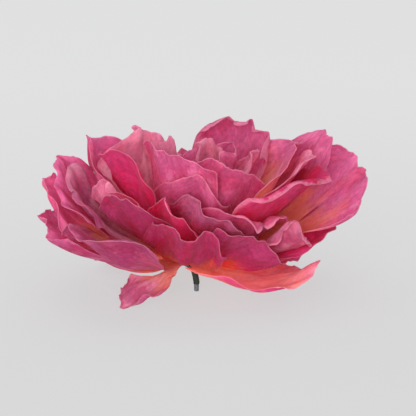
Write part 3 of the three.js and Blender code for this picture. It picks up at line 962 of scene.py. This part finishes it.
def build_ring(name):
    """The petals of one ring, from first to last, each pressed clear of those inside it."""
    crepe = papers()
    settings = bpy.context.scene.peony_paper
    for n, own in enumerate(RINGS[name]):
        node = f"{name}_{n + 1}"
        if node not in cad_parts:
            raise RuntimeError("The part has no node " + node)
        p = {"phase": 1.7 * n, "seed": 100 * list(RINGS).index(name) + n, **own}
        material, slot = crepe[p["paper"]]
        piece = petal_piece(node, p, LAYERS.settle(p), settings, material)


class PEONY_OT_centre(bpy.types.Operator):
    """Build the small upright petals in the middle"""

    bl_idname = "peony.centre"
    bl_label = "Centre petals"

    def execute(self, context):
        build_ring("centre_petal")
        return {"FINISHED"}


class PEONY_OT_inner(bpy.types.Operator):
    """Build the inner petals round the centre"""

    bl_idname = "peony.inner"
    bl_label = "Inner petals"

    def execute(self, context):
        build_ring("inner_petal")
        return {"FINISHED"}


class PEONY_OT_middle(bpy.types.Operator):
    """Build the middle petals with their rolled rims"""

    bl_idname = "peony.middle"
    bl_label = "Middle petals"

    def execute(self, context):
        build_ring("middle_petal")
        return {"FINISHED"}


class PEONY_OT_full(bpy.types.Operator):
    """Build the full, wide petals"""

    bl_idname = "peony.full"
    bl_label = "Full petals"

    def execute(self, context):
        build_ring("full_petal")
        return {"FINISHED"}


class PEONY_OT_outer(bpy.types.Operator):
    """Build the outer petals"""

    bl_idname = "peony.outer"
    bl_label = "Outer petals"

    def execute(self, context):
        build_ring("outer_petal")
        return {"FINISHED"}


class PEONY_OT_guard(bpy.types.Operator):
    """Build the guard petals, which stand out level"""

    bl_idname = "peony.guard"
    bl_label = "Guard petals"

    def execute(self, context):
        build_ring("guard_petal")
        return {"FINISHED"}


class PEONY_OT_drooping(bpy.types.Operator):
    """Build the drooping petals under the head"""

    bl_idname = "peony.drooping"
    bl_label = "Drooping petals"

    def execute(self, context):
        build_ring("drooping_petal")
        return {"FINISHED"}


class PEONY_OT_stub(bpy.types.Operator):
    """Build the bare wire end and the floral tape wound round the stub"""

    bl_idname = "peony.stub"
    bl_label = "Taped stub"

    def execute(self, context):
        length = stem_line(0.5)[2]
        angles = np.linspace(0, 2 * np.pi, STUB_SIDES + 1)[:-1]

        # The wire's end is rounded off in a quarter circle, and its top is hidden in the ball.
        along = np.concatenate([
            WIRE_ROUNDING * (1 - np.cos(np.linspace(0, np.pi / 2, 9))),
            np.linspace(0.9, length - WIRE_TOP, 40),
        ])
        rounded = 1 - (1 - np.minimum(along, WIRE_ROUNDING) / WIRE_ROUNDING) ** 2
        radius = WIRE_RADIUS * (0.35 + 0.65 * np.sqrt(np.clip(rounded, 0, 1)))
        radius[[0, -1]] = 0.4 * WIRE_RADIUS
        rows = round_the_stem(along, np.repeat(radius[:, None], STUB_SIDES, 1), angles)
        wire = turned_piece("bare_wire_end", rows, wire_material(), False)
        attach(wire, "root")
        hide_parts("stem_wire")

        # The tape's outer skin steps up at each lap of its spiral, and its inner skin is plain.
        outside = WIRE_RADIUS + STEM_CLEARANCE + TAPE_THICKNESS
        along = np.linspace(BARE_END, length - BALL_RADIUS + TAPE_IN_BALL, 150)
        lap = (along[:, None] / TAPE_LAP - angles[None, :] / (2 * np.pi)) % 1
        skin = outside - LAP_STEP + LAP_STEP * smooth(lap, 0, 0.16) * (1 - 0.5 * lap)
        skin += TAPE_LUMPS * np.sin(3 * angles[None, :] + 1.9 * along[:, None])
        outer = round_the_stem(along, skin, angles)
        inner = round_the_stem(along[::-1], np.full_like(skin, WIRE_RADIUS + TAPE_PLAY), angles)
        rows = np.vstack([outer, inner])
        tape = turned_piece("taped_stub", rows, floral_tape(), True)
        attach(tape, "root")
        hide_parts("stem_tape")
        return {"FINISHED"}


class PEONY_OT_ball(bpy.types.Operator):
    """Build the ball of wound tape that the petals are glued to"""

    bl_idname = "peony.ball"
    bl_label = "Wound ball"

    def execute(self, context):
        polar_angle = np.linspace(0, np.pi, 49)[:, None]
        turn = np.linspace(0, 2 * np.pi, 73)[:-1][None, :]
        away = from_polar(1.0, turn, polar_angle)
        # Two windings cross each other: each is a set of low steps along its own direction.
        first = (away @ np.array([0.8, 0.35, 0.5]) * 3.1 + 0.12 * np.sin(2 * turn)) % 1
        second = (away @ np.array([-0.4, 0.75, 0.55]) * 2.7 + 0.3) % 1
        radius = BALL_RADIUS - 2 * WINDING_STEP
        for winding in (first, second):
            radius = radius + WINDING_STEP * smooth(winding, 0, 0.2)
        rows = away * radius[..., None] + np.array([BALL_SHIFT, 0, BALL_HEIGHT])
        ball = turned_piece("wound_ball", rows, floral_tape(), False)
        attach(ball, "root")
        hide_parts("ball")
        return {"FINISHED"}


class PEONY_OT_stage(bpy.types.Operator):
    """Lay the pale floor and set the soft light and the camera"""

    bl_idname = "peony.stage"
    bl_label = "Floor, light and camera"

    def execute(self, context):
        colour = context.scene.peony_dyes.floor
        floor_stage(colour)
        soft_light(colour)
        photo_camera()
        return {"FINISHED"}


def seen_directly(tree):
    """1 for rays from the camera, and for those seen in gloss or through glass."""
    path = linked(tree, "ShaderNodeLightPath").outputs
    seen = maths(tree, "MAXIMUM", path["Is Camera Ray"], path["Is Glossy Ray"])
    return maths(tree, "MAXIMUM", seen, path["Is Transmission Ray"])


def floor_stage(colour):
    """A wide pale floor with a painted fall-off of light, darker near the camera and lighter far
    away.

    Most of its light is its own when seen, so its shadow stays faint.
    """
    material, tree = new_material("Pale floor")
    at = linked(tree, "ShaderNodeTexCoord").outputs["Object"]
    depth = linked(tree, "ShaderNodeSeparateXYZ", {0: at}).outputs[1]
    # Painted light: the floor's colour is darker near the camera and lighter far away
    near = (*(c * 0.94 for c in colour), 1)
    far = (*(min(1, c * 1.04) for c in colour), 1)
    painted_falloff = mixed(tree, ramped(tree, depth, -0.15, 0.45), near, far)
    lit = linked(tree, "ShaderNodeBsdfDiffuse", {"Color": painted_falloff})
    own = linked(tree, "ShaderNodeEmission", {"Color": painted_falloff, "Strength": 1.0})
    share = maths(tree, "MULTIPLY", seen_directly(tree), 0.8)
    both = {0: share, 1: lit.outputs[0], 2: own.outputs[0]}
    to_surface(tree, linked(tree, "ShaderNodeMixShader", both))
    corners = np.array([(-1, -1, 0), (1, -1, 0), (1, 1, 0), (-1, 1, 0)])
    floor = new_piece("floor", corners * FLOOR_HALF / MM, [(0, 1, 2, 3)], material)


def soft_light(colour):
    """A pale sky all round, a wide soft lamp overhead and a weak one from the front left."""
    world = bpy.data.worlds.new("Pale sky")
    bpy.context.scene.world = world
    world.use_nodes = True
    tree = world.node_tree
    tree.nodes.clear()
    sky = linked(tree, "ShaderNodeBackground", {"Color": (1, 1, 1, 1), "Strength": SKY_STRENGTH})
    seen = linked(tree, "ShaderNodeBackground", {"Color": (*colour, 1), "Strength": 1.0})
    both = {0: seen_directly(tree), 1: sky.outputs[0], 2: seen.outputs[0]}
    to_surface(tree, linked(tree, "ShaderNodeMixShader", both), "ShaderNodeOutputWorld")
    for name, place, aim, size, power in (
        ("overhead", (-0.15, -0.1, 1.5), (0, 0, 0), 1.3, 3),
        ("front", (-0.35, -1.6, 0.4), (0, 0, 0.03), 1.2, 20),
    ):
        lamp = bpy.data.lights.new(name, "AREA")
        lamp.shape = "DISK"
        lamp.size = size
        lamp.energy = power
        lamp_object = in_scene(name, lamp)
        lamp_object.location = place
        way = Vector(aim) - Vector(place)
        lamp_object.rotation_euler = way.to_track_quat("-Z", "Y").to_euler()


def photo_camera():
    """The photograph's view: from the front, 18 degrees above the table, from 1.1 m away."""
    elevation = math.radians(CAMERA_ELEVATION)
    back = Vector((0, -math.cos(elevation), math.sin(elevation)))
    up = Vector((0, math.sin(elevation), math.cos(elevation)))
    camera = bpy.data.cameras.new("camera")
    camera.sensor_width = CAMERA_SENSOR
    camera.lens = CAMERA_SENSOR * CAMERA_DISTANCE / VIEW_WIDTH
    camera.clip_start = 0.01
    camera_object = in_scene("camera", camera)
    camera_object.location = Vector((VIEW_RIGHT, 0, 0)) + up * VIEW_UP + back * CAMERA_DISTANCE
    camera_object.rotation_euler = (math.pi / 2 - elevation, 0, 0)
    bpy.context.scene.camera = camera_object


OPERATORS = (
    PEONY_OT_centre,
    PEONY_OT_inner,
    PEONY_OT_middle,
    PEONY_OT_full,
    PEONY_OT_outer,
    PEONY_OT_guard,
    PEONY_OT_drooping,
    PEONY_OT_stub,
    PEONY_OT_ball,
    PEONY_OT_stage,
)


class PEONY_PT_panel(bpy.types.Panel):
    """Lists the flower's settings and the steps that build it"""

    bl_label = "Crepe Paper Peony"
    bl_idname = "PEONY_PT_panel"
    bl_space_type = "VIEW_3D"
    bl_region_type = "UI"
    bl_category = "Peony"

    def draw(self, context):
        for settings in (context.scene.peony_paper, context.scene.peony_dyes):
            column = self.layout.column()
            for name in settings.__annotations__:
                column.prop(settings, name)
        for operator in OPERATORS:
            self.layout.operator(operator.bl_idname)


CLASSES = (PaperSettings, DyeSettings, *OPERATORS, PEONY_PT_panel)


def register():
    """Register the settings, the steps and the panel."""
    for item in CLASSES:
        bpy.utils.register_class(item)
    bpy.types.Scene.peony_paper = PointerProperty(type=PaperSettings)
    bpy.types.Scene.peony_dyes = PointerProperty(type=DyeSettings)


def unregister():
    """Undo register."""
    del bpy.types.Scene.peony_dyes
    del bpy.types.Scene.peony_paper
    for item in reversed(CLASSES):
        bpy.utils.unregister_class(item)


def main():
    """Build the flower and its stage."""
    register()
    bpy.context.scene.view_settings.view_transform = "Standard"
    for operator in OPERATORS:
        step = operator.bl_idname.split(".")[1]
        getattr(bpy.ops.peony, step)()


if __name__ == "__main__":
    main()
